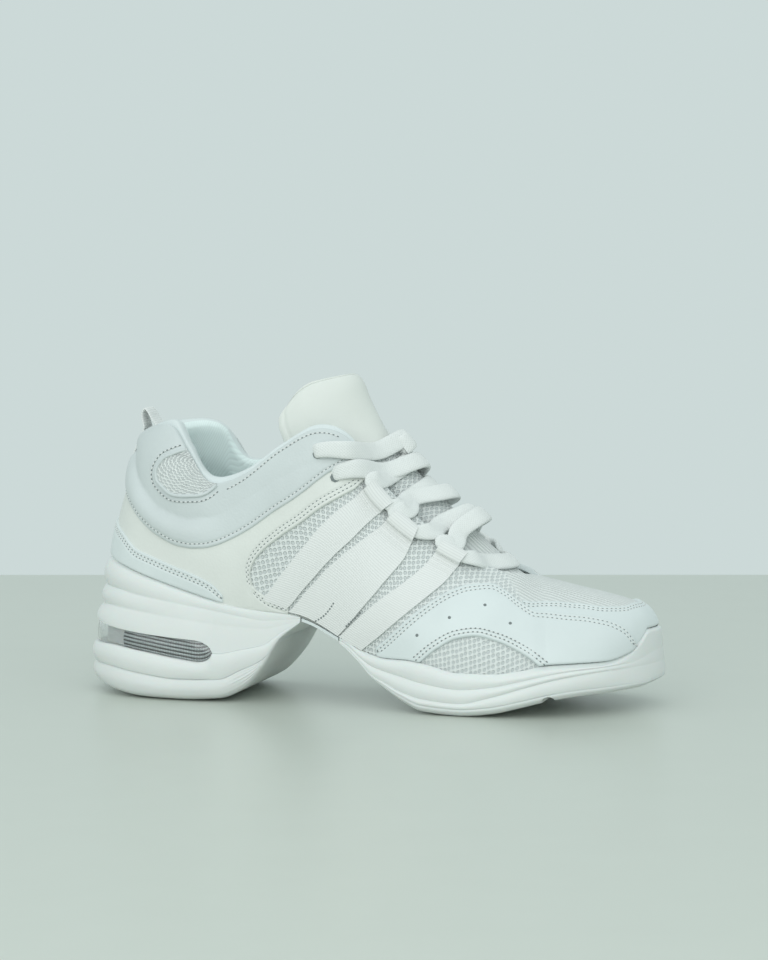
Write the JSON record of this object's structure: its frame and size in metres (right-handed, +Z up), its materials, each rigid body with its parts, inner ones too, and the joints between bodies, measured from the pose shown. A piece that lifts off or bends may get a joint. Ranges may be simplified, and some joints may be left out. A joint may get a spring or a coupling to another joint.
{
  "type": "sneaker",
  "caption": "White dance sneaker with a split sole: tall ribbed heel unit, separate forefoot unit, padded collar, webbing lace straps, crossed lace and padded tongue.",
  "frame": {"origin": "on the floor under the middle of the shoe's bounding box", "axes": "+X from heel to toe, +Y to the medial side, +Z up"},
  "size_m": [0.2579, 0.0927, 0.1424],
  "materials": {
    "moulded_sole": "satin white moulded foam rubber",
    "tread": "matte white rubber",
    "clear_window": "clear moulded plastic over grey",
    "arch_skin": "thin matte white leatherette",
    "knit_mesh": "white air mesh and ribbed knit",
    "lining": "pale grey-green brushed textile",
    "tongue_skin": "soft matte white leatherette",
    "cool_leather": "smooth cool white leatherette",
    "cream_leather": "smooth cream white leatherette",
    "webbing": "white woven webbing with fine cross ribs",
    "lace_braid": "white flat braid"
  },
  "bodies": {
    "root": {"heel_sole": "moulded_sole", "heel_outsole": "tread", "cushion_window": "clear_window", "forefoot_sole": "moulded_sole", "forefoot_outsole": "tread", "arch_cover": "arch_skin", "upper": "knit_mesh", "insole": "lining", "tongue": "tongue_skin", "collar_panel": "cool_leather", "quarter_lateral": "cream_leather", "quarter_medial": "cream_leather", "heel_counter": "cool_leather", "toe_guard": "cool_leather", "toe_wing": "cool_leather", "strap_lateral_1": "webbing", "strap_lateral_2": "webbing", "strap_lateral_3": "webbing", "strap_medial_1": "webbing", "strap_medial_2": "webbing", "strap_medial_3": "webbing", "lace": "lace_braid", "pull_loop": "webbing"}
  },
  "joints": []
}
